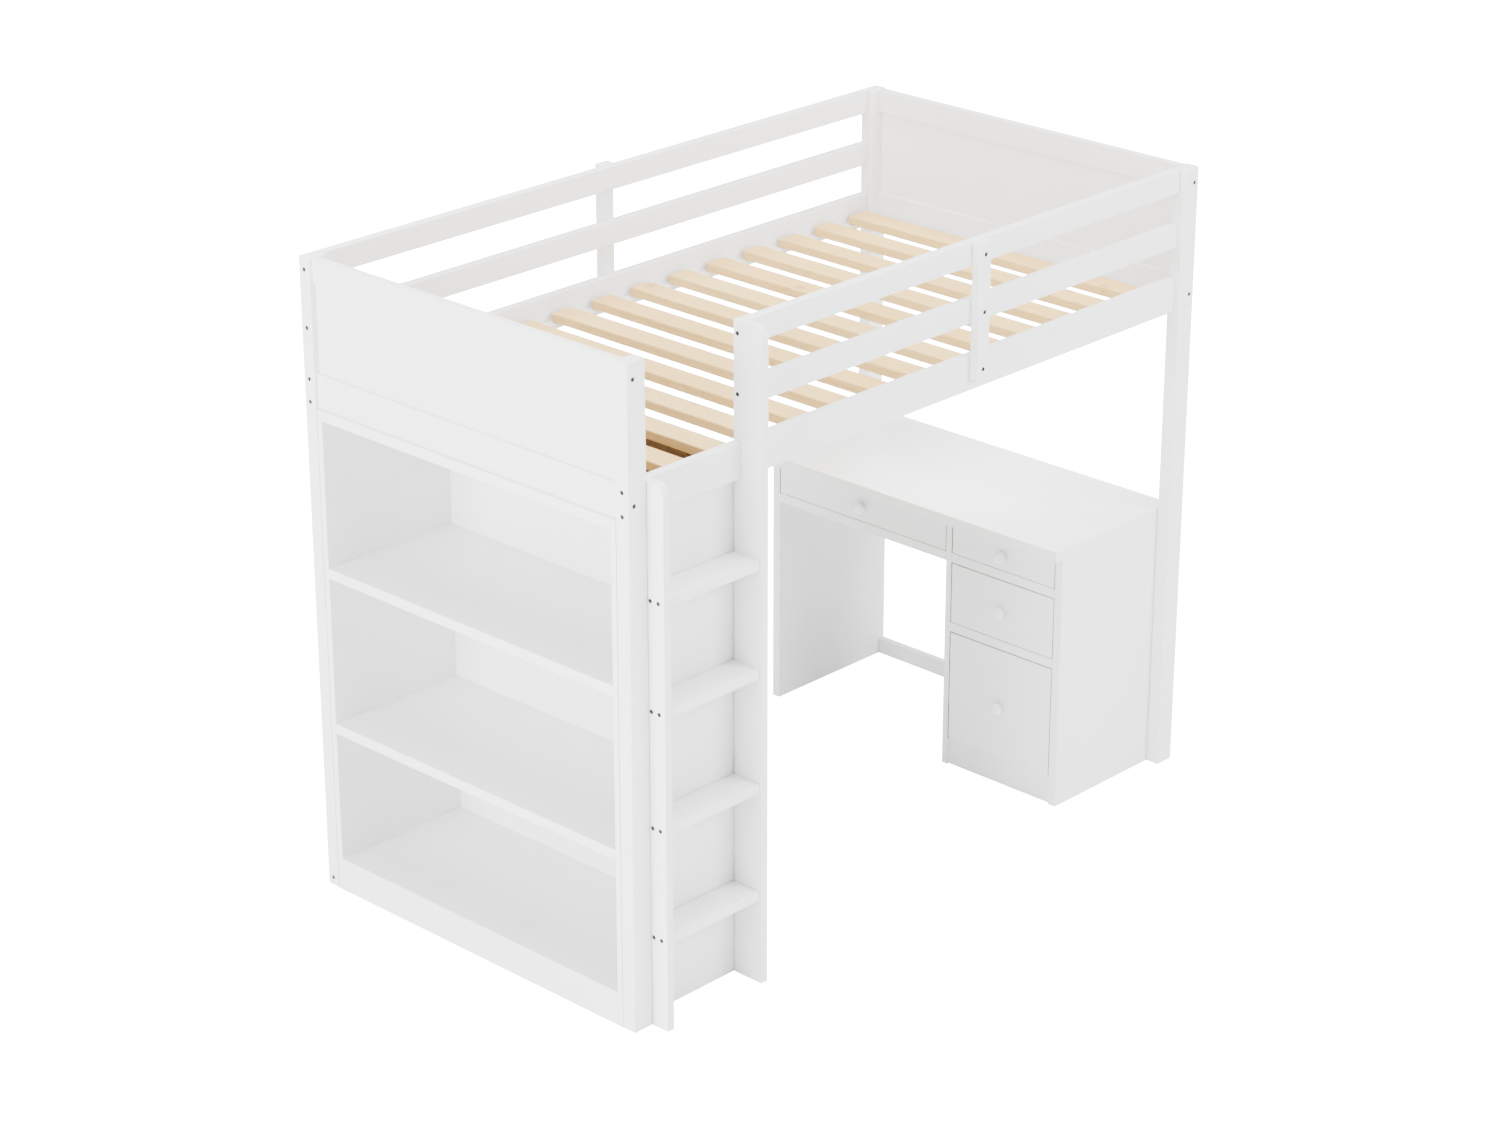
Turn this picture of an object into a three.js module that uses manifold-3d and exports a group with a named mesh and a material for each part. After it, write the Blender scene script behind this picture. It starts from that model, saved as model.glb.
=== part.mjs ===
// Loft bed with a bookcase under its foot end and a desk under its head end.
// Millimetres, +Z up. The bed is laid out from its own corner: x runs from the outer face of the
// foot posts to the head, y from the ladder-side face of the front posts to the wall side, z up from
// the floor. The group at the end moves that layout so the origin is the centre of the footprint.
import * as THREE from "three";
import { mergeVertices } from "three/addons/utils/BufferGeometryUtils.js";
import Module from "manifold-3d";

const wasm = await Module();
wasm.setup();

// ---- Driving dimensions ------------------------------------------------------------------------

// Frame
const LENGTH = 1976; // over the posts, foot to head
const WIDTH = 1064; // over the posts, ladder side to wall side
const HEIGHT = 1612; // floor to the top of the posts
const POST_X = 56;
const POST_Y = 38;
const RAIL_T = 23; // thickness of every long rail
const SIDE_RAIL_H = 88;
const SIDE_RAIL_Z = 1244; // underside of the side rails
const GUARD_H = 61;
const GUARD_PITCH = 141; // drop from the top guard rail to the lower one
const SUPPORT_W = 41; // upright that ties the guard rails to the side rail
const SUPPORT_T = 25;
const SUPPORT_RISE = 29; // underside of the uprights, above the underside of the side rails
const FRONT_SUPPORT_X = 1156.5; // middle of the upright on the ladder side
const FIT = 0.3; // gap at every butt joint between two boards

// End panels: a frame of two thick rails with a thin board let into them
const END_T = 19;
const END_SETBACK = 8; // behind the outer face of the posts
const END_RECESS = 7; // depth of the thin board behind each face of the rails
const END_TOP_H = 61;
const END_RISE = 3; // underside of the end panels, above the underside of the side rails
const END_BOTTOM_H = 84;

// Slatted deck
const SLAT_COUNT = 14;
const SLAT_W = 66;
const SLAT_T = 24;
const SLAT_TOP_RISE = 46; // top of the slats, above the underside of the side rails
const SLAT_END_GAP = 9; // slat end to the side rail
const SLAT_FOOT_X = 84; // foot edge of the first slat
const SLAT_HEAD_GAP = 71; // head edge of the last slat to the outer face of the head posts
const LEDGER_D = 24; // strip glued inside each side rail, under the slats
const LEDGER_H = 14;

// Ladder
const STILE_T = 20;
const STILE_OUT = 48; // how far the stiles stand out in front of the posts
const STILE_ROUND = 30; // rounded front corner at the top of each stile
const STILE_GAP = 0.8; // between the short stile and the foot post
const LADDER_CLEAR = 288; // between the two stiles
const RUNG_T = 25;
const RUNG_DROPS = [1016, 741, 455, 190]; // middle of each rung, below the underside of the side rails
const RUNG_FRONT_SETBACK = 5;
const RUNG_BACK_SETBACK = 1;

// Bookcase
const BOOK_GAP = 2; // between the bookcase sides and the posts
const BOOK_DEPTH = 394;
const BOOK_SIDE_T = 16;
const BOOK_SHELF_T = 26;
const BOOK_BACK_T = 6;
const BOOK_SHELF_TOPS = [448, 851];
const BOOK_BASE_TOP = 86;
const BOOK_PLINTH_T = 16;
const BOOK_FLOOR_T = 16;

// Desk
const DESK_GAP = 0.5; // between the desk sides and the inner faces of the posts
const DESK_TOP_Z = 711.5;
const DESK_TOP_T = 28;
const DESK_DEPTH = 426; // of the carcass, whose front the drawer fronts lie flush with
const DESK_OVERHANG = 28; // desktop in front of the carcass
const DESK_BACK_INSET = 6; // carcass back to the end of the desktop
const DESK_SIDE_T = 24;
const PEDESTAL_W = 339; // clear width of the drawer column
const PEDESTAL_SIDE_T = 18;
const SHELF_T = 25; // boards that carry the drawers
const TOP_BAY_H = 86.5; // clear height of the upper row of drawers
const LOWER_BOARD_TOP = 405;
const BASE_TOP = 77.5;
const BASE_T = 16;
const TOE_SETBACK = 7;
const BACK_T = 6;
const BACK_RAIL_T = 12;
const STRETCHER_H = 44;
const STRETCHER_T = 20;

// Drawers
const FRONT_T = 18;
const FRONT_GAP = 3; // round the sides and top of each drawer front
const FRONT_LIFT = 1.5; // under each drawer front
const SLIDE_CLEARANCE = 0.5; // drawer box above the board that carries it
const BOX_SIDE_GAP = 4;
const BOX_DEPTH = 380;
const BOX_WALL = 12;
const BOX_FLOOR = 8;
const BOX_TOP_DROP = 12; // rim of the box below the top of its front
const KNOB_R = 17.5;
const KNOB_LENGTH = 20;
const KNOB_RIM = 10; // widest part of the knob, from the drawer front
const KNOB_NECK_R = 9;
const KNOB_NECK = 5.5; // narrowest part of the knob, from the drawer front
const KNOB_FOOT_R = 15.5;
const KNOB_FOOT_T = 2.5;
const KNOB_DROPS = { wide: 2.5, top: 3.5, middle: 4.5, bottom: 12 }; // below the middle of the front

// Bolt recesses
const BOLT_R = 5.5;
const BOLT_DEPTH = 4;
const SIDE_BOLT_SPREAD = 56; // between the two bolts of a side rail
const END_TOP_BOLT_DROP = 39; // below the top of the posts
const END_LOW_BOLT_RISE = 38; // above the underside of the end panels
const PLINTH_BOLT_Z = 22;
const SUPPORT_RAIL_BOLT_RISE = 56; // above the underside of the side rail
const RUNG_BOLT_SETBACKS = [18, 42]; // behind the front edge of the stiles

// ---- Positions that several pieces share -------------------------------------------------------

const backPostY = WIDTH - POST_Y;
const headPostX = LENGTH - POST_X;
const frontRail = [POST_Y - RAIL_T, POST_Y];
const backRail = [WIDTH - RAIL_T, WIDTH];
const sideRailTop = SIDE_RAIL_Z + SIDE_RAIL_H;
const guardTop = [HEIGHT - GUARD_H, HEIGHT];
const guardLow = [guardTop[0] - GUARD_PITCH, guardTop[1] - GUARD_PITCH];
const slatTop = SIDE_RAIL_Z + SLAT_TOP_RISE;
const slatUnderside = slatTop - SLAT_T;
const endBottomZ = SIDE_RAIL_Z + END_RISE;

const shortStile = [POST_X + STILE_GAP, POST_X + STILE_GAP + STILE_T];
const tallStile = [shortStile[1] + LADDER_CLEAR, shortStile[1] + LADDER_CLEAR + STILE_T];
const backSupportX = (POST_X + headPostX) / 2;

const bookY = [POST_Y + BOOK_GAP, backPostY - BOOK_GAP];
const bookTopZ = [endBottomZ - FIT - BOOK_SHELF_T, endBottomZ - FIT];

const deskY = [POST_Y + DESK_GAP, backPostY - DESK_GAP];
const deskBackX = LENGTH - DESK_BACK_INSET;
const deskFrontX = deskBackX - DESK_DEPTH;
const carcassTop = DESK_TOP_Z - DESK_TOP_T;
const upperBoardTop = carcassTop - TOP_BAY_H;
const columnY = [deskY[0] + DESK_SIDE_T, deskY[0] + DESK_SIDE_T + PEDESTAL_W];
const kneeY = [columnY[1] + PEDESTAL_SIDE_T, deskY[1] - DESK_SIDE_T];
const backPanelX = [deskBackX - DESK_BACK_INSET - BACK_T, deskBackX - DESK_BACK_INSET];

// ---- Materials ---------------------------------------------------------------------------------

const whitePaint = { color: 0xe9e9e8, roughness: 0.45, metalness: 0 };
const frontPaint = { color: 0xececea, roughness: 0.4, metalness: 0 };
const knobPaint = { color: 0xf0f0ee, roughness: 0.3, metalness: 0 };
const pine = { color: 0xdfcda9, roughness: 0.6, metalness: 0 };

// ---- Shape helpers -----------------------------------------------------------------------------

const bed = new THREE.Group();

function add(name, finish, geometry) {
  const mesh = new THREE.Mesh(geometry, new THREE.MeshStandardMaterial(finish));
  mesh.name = name;
  bed.add(mesh);
  return mesh;
}

// A rectangular block between two limits along each axis.
function block(x, y, z) {
  const geometry = new THREE.BoxGeometry(x[1] - x[0], y[1] - y[0], z[1] - z[0]);
  return geometry.translate((x[0] + x[1]) / 2, (y[0] + y[1]) / 2, (z[0] + z[1]) / 2);
}

// A board drawn by its outline in the y-z plane, with its thickness along x.
function profileAlongX(outline, x) {
  const geometry = new THREE.ExtrudeGeometry(outline, {
    depth: x[1] - x[0],
    bevelEnabled: false,
    curveSegments: 10,
  });
  const axes = new THREE.Matrix4().makeBasis(
    new THREE.Vector3(0, 1, 0),
    new THREE.Vector3(0, 0, 1),
    new THREE.Vector3(1, 0, 0),
  );
  return geometry.applyMatrix4(axes).translate(x[0], 0, 0);
}

function toSolid(geometry) {
  const plain = geometry.clone();
  plain.deleteAttribute("normal");
  plain.deleteAttribute("uv");
  const merged = mergeVertices(plain);
  return new wasm.Manifold(
    new wasm.Mesh({
      numProp: 3,
      vertProperties: new Float32Array(merged.attributes.position.array),
      triVerts: new Uint32Array(merged.index.array),
    }),
  );
}

function toGeometry(solid) {
  const mesh = solid.getMesh();
  const geometry = new THREE.BufferGeometry();
  geometry.setAttribute("position", new THREE.BufferAttribute(mesh.vertProperties, 3));
  geometry.setIndex(new THREE.BufferAttribute(mesh.triVerts, 1));
  return geometry;
}

function cut(geometry, cutters) {
  const rest = cutters.reduce((solid, cutter) => solid.subtract(toSolid(cutter)), toSolid(geometry));
  return toGeometry(rest);
}

function join(geometries) {
  return toGeometry(geometries.map(toSolid).reduce((whole, piece) => whole.add(piece)));
}

// A round recess for a bolt head, centred on a face whose normal runs along the given axis.
function recess(axis, x, y, z) {
  const cutter = new THREE.CylinderGeometry(BOLT_R, BOLT_R, 2 * BOLT_DEPTH, 20);
  if (axis === "x") cutter.rotateZ(Math.PI / 2);
  return cutter.translate(x, y, z);
}

// ---- Posts -------------------------------------------------------------------------------------

const sideBoltZ = [-1, 1].map((side) => SIDE_RAIL_Z + SIDE_RAIL_H / 2 + (side * SIDE_BOLT_SPREAD) / 2);
const guardBoltZ = [guardTop, guardLow].map((guard) => (guard[0] + guard[1]) / 2);
const endBoltZ = [HEIGHT - END_TOP_BOLT_DROP, endBottomZ + END_LOW_BOLT_RISE];
const endPanelX = { foot: END_SETBACK, head: LENGTH - END_SETBACK - END_T };

function addPost(name, end, side, outerBoltZ) {
  const x = end === "foot" ? [0, POST_X] : [headPostX, LENGTH];
  const y = side === "front" ? [0, POST_Y] : [backPostY, WIDTH];
  const outerX = end === "foot" ? 0 : LENGTH;
  const outerY = side === "front" ? 0 : WIDTH;
  const middleY = (y[0] + y[1]) / 2;
  const endPanelMiddle = endPanelX[end] + END_T / 2;
  const recesses = [
    ...outerBoltZ.map((z) => recess("x", outerX, middleY, z)),
    ...endBoltZ.map((z) => recess("y", endPanelMiddle, outerY, z)),
  ];
  add(name, whitePaint, cut(block(x, y, [0, HEIGHT]), recesses));
}

addPost("post_foot_front", "foot", "front", sideBoltZ);
addPost("post_foot_back", "foot", "back", [...sideBoltZ, ...guardBoltZ, PLINTH_BOLT_Z]);
addPost("post_head_front", "head", "front", [...sideBoltZ, ...guardBoltZ]);
addPost("post_head_back", "head", "back", [...sideBoltZ, ...guardBoltZ]);

// ---- End panels --------------------------------------------------------------------------------

function addEndPanel(name, x0) {
  const x = [x0, x0 + END_T];
  const y = [POST_Y + FIT, backPostY - FIT];
  const pocketY = [0, WIDTH];
  const pocketZ = [endBottomZ + END_BOTTOM_H, HEIGHT - END_TOP_H];
  const pockets = [
    block([x[0] - END_RECESS, x[0] + END_RECESS], pocketY, pocketZ),
    block([x[1] - END_RECESS, x[1] + END_RECESS], pocketY, pocketZ),
  ];
  add(name, whitePaint, cut(block(x, y, [endBottomZ, HEIGHT]), pockets));
}

addEndPanel("foot_end_panel", endPanelX.foot);
addEndPanel("head_end_panel", endPanelX.head);

// ---- Side rails with their slat ledgers --------------------------------------------------------

const railX = [POST_X + FIT, headPostX - FIT];
const sideRailZ = [SIDE_RAIL_Z, sideRailTop];
const ledgerZ = [slatUnderside - FIT - LEDGER_H, slatUnderside - FIT];

add(
  "side_rail_front",
  whitePaint,
  join([
    block(railX, frontRail, sideRailZ),
    block(railX, [frontRail[1] - RAIL_T / 2, frontRail[1] + LEDGER_D], ledgerZ),
  ]),
);
add(
  "side_rail_back",
  whitePaint,
  join([
    block(railX, backRail, sideRailZ),
    block(railX, [backRail[0] - LEDGER_D, backRail[0] + RAIL_T / 2], ledgerZ),
  ]),
);

// ---- Guard rails and their uprights ------------------------------------------------------------

const frontGuardX = [tallStile[1] + FIT, headPostX - FIT];
add("guard_rail_front_top", whitePaint, block(frontGuardX, frontRail, guardTop));
add("guard_rail_front_low", whitePaint, block(frontGuardX, frontRail, guardLow));
add("guard_rail_back_top", whitePaint, block(railX, backRail, guardTop));
add("guard_rail_back_low", whitePaint, block(railX, backRail, guardLow));

const supportZ = SIDE_RAIL_Z + SUPPORT_RISE;
const supportBoltZ = [...guardBoltZ, SIDE_RAIL_Z + SUPPORT_RAIL_BOLT_RISE];

function addSupport(name, middleX, y, outerY) {
  const x = [middleX - SUPPORT_W / 2, middleX + SUPPORT_W / 2];
  const recesses = supportBoltZ.map((z) => recess("y", middleX, outerY, z));
  add(name, whitePaint, cut(block(x, y, [supportZ, HEIGHT]), recesses));
}

const frontSupportY = [frontRail[0] - FIT - SUPPORT_T, frontRail[0] - FIT];
const backSupportY = [WIDTH + FIT, WIDTH + FIT + SUPPORT_T];
addSupport("guard_support_front", FRONT_SUPPORT_X, frontSupportY, frontSupportY[0]);
addSupport("guard_support_back", backSupportX, backSupportY, backSupportY[1]);

// ---- Slats -------------------------------------------------------------------------------------

const slatPitch = (LENGTH - SLAT_FOOT_X - SLAT_HEAD_GAP - SLAT_W) / (SLAT_COUNT - 1);
const slatY = [frontRail[1] + SLAT_END_GAP, backRail[0] - SLAT_END_GAP];
for (let i = 0; i < SLAT_COUNT; i += 1) {
  const x0 = SLAT_FOOT_X + i * slatPitch;
  const number = String(i + 1).padStart(2, "0");
  add(`slat_${number}`, pine, block([x0, x0 + SLAT_W], slatY, [slatUnderside, slatTop]));
}

// ---- Ladder ------------------------------------------------------------------------------------

const stileY = [-STILE_OUT, frontRail[1]];
const rungCentres = RUNG_DROPS.map((drop) => SIDE_RAIL_Z - drop);
const notchY = frontRail[0] - FIT;
const notchZ = [SIDE_RAIL_Z - FIT, sideRailTop + FIT];

// Both stiles share the front edge and its rounded top corner; the tall one goes on above the rail.
function stileOutline(top, reachesAboveRail) {
  const outline = new THREE.Shape();
  outline.moveTo(stileY[0], 0);
  outline.lineTo(stileY[1], 0);
  outline.lineTo(stileY[1], notchZ[0]);
  outline.lineTo(notchY, notchZ[0]);
  if (reachesAboveRail) {
    outline.lineTo(notchY, notchZ[1]);
    outline.lineTo(stileY[1], notchZ[1]);
    outline.lineTo(stileY[1], top);
  } else {
    outline.lineTo(notchY, top);
  }
  outline.lineTo(stileY[0] + STILE_ROUND, top);
  outline.absarc(stileY[0] + STILE_ROUND, top - STILE_ROUND, STILE_ROUND, Math.PI / 2, Math.PI, false);
  return outline;
}

function rungBolts(faceX) {
  return rungCentres.flatMap((z) =>
    RUNG_BOLT_SETBACKS.map((setback) => recess("x", faceX, stileY[0] + setback, z)),
  );
}

const railMiddleY = (frontRail[0] + frontRail[1]) / 2;
add(
  "ladder_stile_short",
  whitePaint,
  cut(profileAlongX(stileOutline(sideRailTop, false), shortStile), rungBolts(shortStile[0])),
);
add(
  "ladder_stile_tall",
  whitePaint,
  cut(profileAlongX(stileOutline(HEIGHT, true), tallStile), [
    ...rungBolts(tallStile[1]),
    ...guardBoltZ.map((z) => recess("x", tallStile[0], railMiddleY, z)),
  ]),
);

const rungX = [shortStile[1] + FIT, tallStile[0] - FIT];
const rungY = [stileY[0] + RUNG_FRONT_SETBACK, stileY[1] - RUNG_BACK_SETBACK];
rungCentres.forEach((z, i) => {
  add(`ladder_rung_${i + 1}`, whitePaint, block(rungX, rungY, [z - RUNG_T / 2, z + RUNG_T / 2]));
});

// ---- Bookcase ----------------------------------------------------------------------------------

const bookSideZ = [0, bookTopZ[0] - FIT];
const bookX = [0, BOOK_DEPTH];
const shelfY = [bookY[0] + BOOK_SIDE_T + FIT, bookY[1] - BOOK_SIDE_T - FIT];
const bookBackX = [BOOK_DEPTH - BOOK_BACK_T, BOOK_DEPTH];
const shelfX = [0, bookBackX[0] - FIT];

add("bookcase_side_front", whitePaint, block(bookX, [bookY[0], bookY[0] + BOOK_SIDE_T], bookSideZ));
add("bookcase_side_back", whitePaint, block(bookX, [bookY[1] - BOOK_SIDE_T, bookY[1]], bookSideZ));
add("bookcase_top", whitePaint, block(bookX, bookY, bookTopZ));
add("bookcase_back", whitePaint, block(bookBackX, shelfY, bookSideZ));
BOOK_SHELF_TOPS.forEach((top, i) => {
  const name = i === 0 ? "bookcase_shelf_lower" : "bookcase_shelf_upper";
  add(name, whitePaint, block(shelfX, shelfY, [top - BOOK_SHELF_T, top]));
});
add(
  "bookcase_base",
  whitePaint,
  join([
    block([0, BOOK_PLINTH_T], shelfY, [0, BOOK_BASE_TOP]),
    block(shelfX, shelfY, [BOOK_BASE_TOP - BOOK_FLOOR_T, BOOK_BASE_TOP]),
  ]),
);

// ---- Desk --------------------------------------------------------------------------------------

const sideX = [deskFrontX, deskBackX];
const sideZ = [0, carcassTop - FIT];
const fittedColumnY = [columnY[0] + FIT, columnY[1] - FIT];
const fittedKneeY = [kneeY[0] + FIT, kneeY[1] - FIT];
const desktopX = [deskFrontX - DESK_OVERHANG, LENGTH];
add("desktop", whitePaint, block(desktopX, deskY, [carcassTop, DESK_TOP_Z]));
add("desk_leg_panel", whitePaint, block(sideX, [kneeY[1], deskY[1]], sideZ));
add("pedestal_side_inner", whitePaint, block(sideX, [columnY[1], kneeY[0]], sideZ));
add("pedestal_side_outer", whitePaint, block(sideX, [deskY[0], columnY[0]], sideZ));

// The boards that carry the drawers stop at the thin back of the column.
const boardX = [deskFrontX, backPanelX[0] - FIT];
const upperBoardZ = [upperBoardTop - SHELF_T, upperBoardTop];
const lowerBoardZ = [LOWER_BOARD_TOP - SHELF_T, LOWER_BOARD_TOP];
const kneeBoardX = [deskFrontX, backPanelX[1]];
add("desk_drawer_shelf", whitePaint, block(kneeBoardX, fittedKneeY, upperBoardZ));
add("pedestal_divider_upper", whitePaint, block(boardX, fittedColumnY, upperBoardZ));
add("pedestal_divider_lower", whitePaint, block(boardX, fittedColumnY, lowerBoardZ));

const toeX = deskFrontX + TOE_SETBACK;
add(
  "pedestal_base",
  whitePaint,
  join([
    block([toeX, toeX + BASE_T], fittedColumnY, [0, BASE_TOP]),
    block([toeX, backPanelX[1]], fittedColumnY, [BASE_TOP - BASE_T, BASE_TOP]),
  ]),
);
const columnBackZ = [BASE_TOP + FIT, sideZ[1]];
add("pedestal_back", whitePaint, block(backPanelX, fittedColumnY, columnBackZ));

const backRailX = [backPanelX[1] - BACK_RAIL_T, backPanelX[1]];
const backRailZ = [upperBoardTop + FIT, sideZ[1]];
add("desk_back_rail", whitePaint, block(backRailX, fittedKneeY, backRailZ));
const stretcherX = [deskBackX - STRETCHER_T, deskBackX];
add("desk_stretcher", whitePaint, block(stretcherX, fittedKneeY, [0, STRETCHER_H]));

// ---- Drawers -----------------------------------------------------------------------------------

// A drawer is an open tray behind a front that lies flush with the carcass.
function addDrawer(name, bayY, floorZ, ceilingZ) {
  const frontZ = [floorZ + FRONT_LIFT, ceilingZ - FRONT_GAP];
  const frontY = [bayY[0] + FRONT_GAP, bayY[1] - FRONT_GAP];
  const frontX = [deskFrontX, deskFrontX + FRONT_T];
  const trayX = [frontX[1] - FRONT_T / 2, frontX[1] + BOX_DEPTH];
  const trayY = [bayY[0] + BOX_SIDE_GAP, bayY[1] - BOX_SIDE_GAP];
  const trayZ = [floorZ + SLIDE_CLEARANCE, frontZ[1] - BOX_TOP_DROP];
  const hollow = block(
    [frontX[1], trayX[1] - BOX_WALL],
    [trayY[0] + BOX_WALL, trayY[1] - BOX_WALL],
    [trayZ[0] + BOX_FLOOR, ceilingZ],
  );
  const tray = cut(block(trayX, trayY, trayZ), [hollow]);
  const flush = block([frontX[0] - FRONT_T, frontX[1]], trayY, [floorZ, frontZ[0]]);
  const lifted = cut(tray, [flush]);
  add(`drawer_${name}`, frontPaint, join([block(frontX, frontY, frontZ), lifted]));
  const knobZ = (frontZ[0] + frontZ[1]) / 2 - KNOB_DROPS[name];
  addKnob(`knob_${name}`, (bayY[0] + bayY[1]) / 2, knobZ);
}

// A turned knob, along -x: a round foot on the drawer front, a neck and a domed head.
function addKnob(name, y, z) {
  const points = [
    new THREE.Vector2(0, 0),
    new THREE.Vector2(KNOB_FOOT_R, 0),
    new THREE.Vector2(KNOB_FOOT_R, KNOB_FOOT_T),
    new THREE.Vector2(KNOB_NECK_R, KNOB_NECK),
  ];
  const steps = 5;
  for (let i = 1; i <= steps; i += 1) {
    const turn = ((i / steps) * Math.PI) / 2;
    const radius = KNOB_NECK_R + (KNOB_R - KNOB_NECK_R) * Math.sin(turn);
    points.push(new THREE.Vector2(radius, KNOB_RIM - (KNOB_RIM - KNOB_NECK) * Math.cos(turn)));
  }
  for (let i = 1; i <= steps; i += 1) {
    const turn = ((i / steps) * Math.PI) / 2;
    const radius = i === steps ? 0 : KNOB_R * Math.cos(turn);
    points.push(new THREE.Vector2(radius, KNOB_RIM + (KNOB_LENGTH - KNOB_RIM) * Math.sin(turn)));
  }
  const geometry = new THREE.LatheGeometry(points, 24);
  geometry.rotateZ(Math.PI / 2);
  add(name, knobPaint, geometry.translate(deskFrontX - FIT, y, z));
}

addDrawer("wide", kneeY, upperBoardTop, carcassTop);
addDrawer("top", columnY, upperBoardTop, carcassTop);
addDrawer("middle", columnY, LOWER_BOARD_TOP, upperBoardZ[0]);
addDrawer("bottom", columnY, BASE_TOP, lowerBoardZ[0]);

// ---- Origin: the centre of the footprint, on the floor -----------------------------------------

const footprintY = [stileY[0], backSupportY[1]];
bed.position.set(-LENGTH / 2, -(footprintY[0] + footprintY[1]) / 2, 0);

export default bed;
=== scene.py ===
# %% [markdown]
# # A white loft bed over a bookcase and a desk
#
# The bed is a flat-pack piece: solid pine posts, rails and ladder under white paint, a desk and a
# bookcase of painted board, and a deck of bare pine slats. Every board's size and place comes from
# the engineering model, which loads first as a fixed frame. What this lesson adds is what a maker's
# hand and a spray booth add: rounded edges, paint with a little grain under it, the growth rings of
# the slats, turned knobs, and the bolts in their recesses.

# %% Load the frame
import math

import bmesh
import bpy
from mathutils import Matrix, Vector


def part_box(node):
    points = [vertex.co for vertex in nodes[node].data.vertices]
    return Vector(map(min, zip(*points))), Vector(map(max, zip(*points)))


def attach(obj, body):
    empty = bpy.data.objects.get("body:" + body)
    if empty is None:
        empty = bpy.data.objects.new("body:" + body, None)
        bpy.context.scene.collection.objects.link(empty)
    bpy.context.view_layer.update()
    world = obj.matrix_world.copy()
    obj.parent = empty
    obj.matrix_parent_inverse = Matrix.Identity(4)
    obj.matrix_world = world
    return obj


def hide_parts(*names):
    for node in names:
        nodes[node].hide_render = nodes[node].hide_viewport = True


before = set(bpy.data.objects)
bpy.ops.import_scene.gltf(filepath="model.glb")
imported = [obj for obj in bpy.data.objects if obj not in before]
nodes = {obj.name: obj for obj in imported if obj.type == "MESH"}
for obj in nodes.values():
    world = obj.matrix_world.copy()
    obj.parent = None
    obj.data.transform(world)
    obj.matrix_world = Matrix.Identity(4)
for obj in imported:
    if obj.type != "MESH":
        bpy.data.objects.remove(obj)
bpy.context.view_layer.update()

# %% [markdown]
# ## Looking at it
#
# The bed is seen from above its foot end and its ladder side. A long lens, a little under 90 mm on
# a full frame, keeps the posts close to parallel. The camera is aimed by its heading and its tilt,
# as a tripod head is, instead of by a tracking constraint, so that it stays where it is put.

# %% Camera
HEADING = math.radians(-46.43)
TILT = math.radians(22.89)
CAMERA_PLACE = (-6.170, -5.8087, 4.2845)

camera_data = bpy.data.cameras.new("camera")
camera_data.sensor_width = 36.0
camera_data.lens = 89.8
camera = bpy.data.objects.new("camera", camera_data)
camera.location = CAMERA_PLACE
camera.rotation_euler = (math.pi / 2 - TILT, 0.0, HEADING)
bpy.context.scene.collection.objects.link(camera)
bpy.context.scene.camera = camera
print("camera at", tuple(round(v, 3) for v in camera.location))

# %% [markdown]
# ## Light
#
# White furniture is lit by broad, soft lamps from many sides. Two on the foot side make the end
# panel and the backs of the bookcase the brightest faces; weaker ones from the ladder side, from
# above, from the head and from behind keep every other face a step below, so that corners read
# without a hard shadow. One aimed at the desk, and a small one under the deck, fill the desk, which
# the bed would otherwise leave in the dark. The world itself is dim to the bed and bright to the
# camera.

# %% World and lamps
ROOM_FILL = 0.32
BACKDROP = 24.0

world = bpy.data.worlds.new("studio")
bpy.context.scene.world = world
world.use_nodes = True
sky_tree = world.node_tree
sky = sky_tree.nodes["Background"]
sky.inputs["Color"].default_value = (1.0, 1.0, 1.0, 1.0)
sky.inputs["Strength"].default_value = ROOM_FILL
backdrop = sky_tree.nodes.new("ShaderNodeBackground")
backdrop.inputs["Strength"].default_value = BACKDROP
seen = sky_tree.nodes.new("ShaderNodeLightPath")
pick = sky_tree.nodes.new("ShaderNodeMixShader")
sky_tree.links.new(seen.outputs["Is Camera Ray"], pick.inputs["Fac"])
sky_tree.links.new(sky.outputs["Background"], pick.inputs[1])
sky_tree.links.new(backdrop.outputs["Background"], pick.inputs[2])
sky_tree.links.new(pick.outputs["Shader"], sky_tree.nodes["World Output"].inputs["Surface"])


def add_lamp(name, place, aim, size, watts):
    """A square soft lamp at a place, turned towards a point and hidden from the camera."""
    data = bpy.data.lights.new(name, "AREA")
    data.shape = "SQUARE"
    data.size = size
    data.energy = watts
    lamp = bpy.data.objects.new(name, data)
    lamp.location = place
    lamp.rotation_euler = (Vector(aim) - Vector(place)).to_track_quat("-Z", "Y").to_euler()
    lamp.visible_camera = False
    bpy.context.scene.collection.objects.link(lamp)


BED_MIDDLE = (0.0, 0.0, 0.8)
add_lamp("lamp_foot_low", (-7.0, 0.0, 1.3), BED_MIDDLE, 5.0, 1680.0)
add_lamp("lamp_foot_high", (-6.0, -1.0, 4.2), BED_MIDDLE, 4.0, 440.0)
add_lamp("lamp_corner", (-5.0, -5.0, 3.2), BED_MIDDLE, 4.0, 60.0)
add_lamp("lamp_ladder", (1.2, -6.0, 4.2), BED_MIDDLE, 4.0, 640.0)
add_lamp("lamp_above", (0.2, 0.0, 6.0), BED_MIDDLE, 5.0, 1000.0)
add_lamp("lamp_head", (6.5, -2.0, 2.5), BED_MIDDLE, 4.0, 300.0)
add_lamp("lamp_behind", (2.5, 6.5, 3.0), BED_MIDDLE, 4.0, 420.0)
add_lamp("lamp_desk", (1.8, -4.5, 3.2), (0.8, 0.0, 0.6), 2.0, 170.0)
add_lamp("lamp_under_deck", (0.72, -0.05, 1.20), (0.72, -0.05, 0.0), 0.5, 10.0)
print("lamps:", len(bpy.data.lights))

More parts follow.
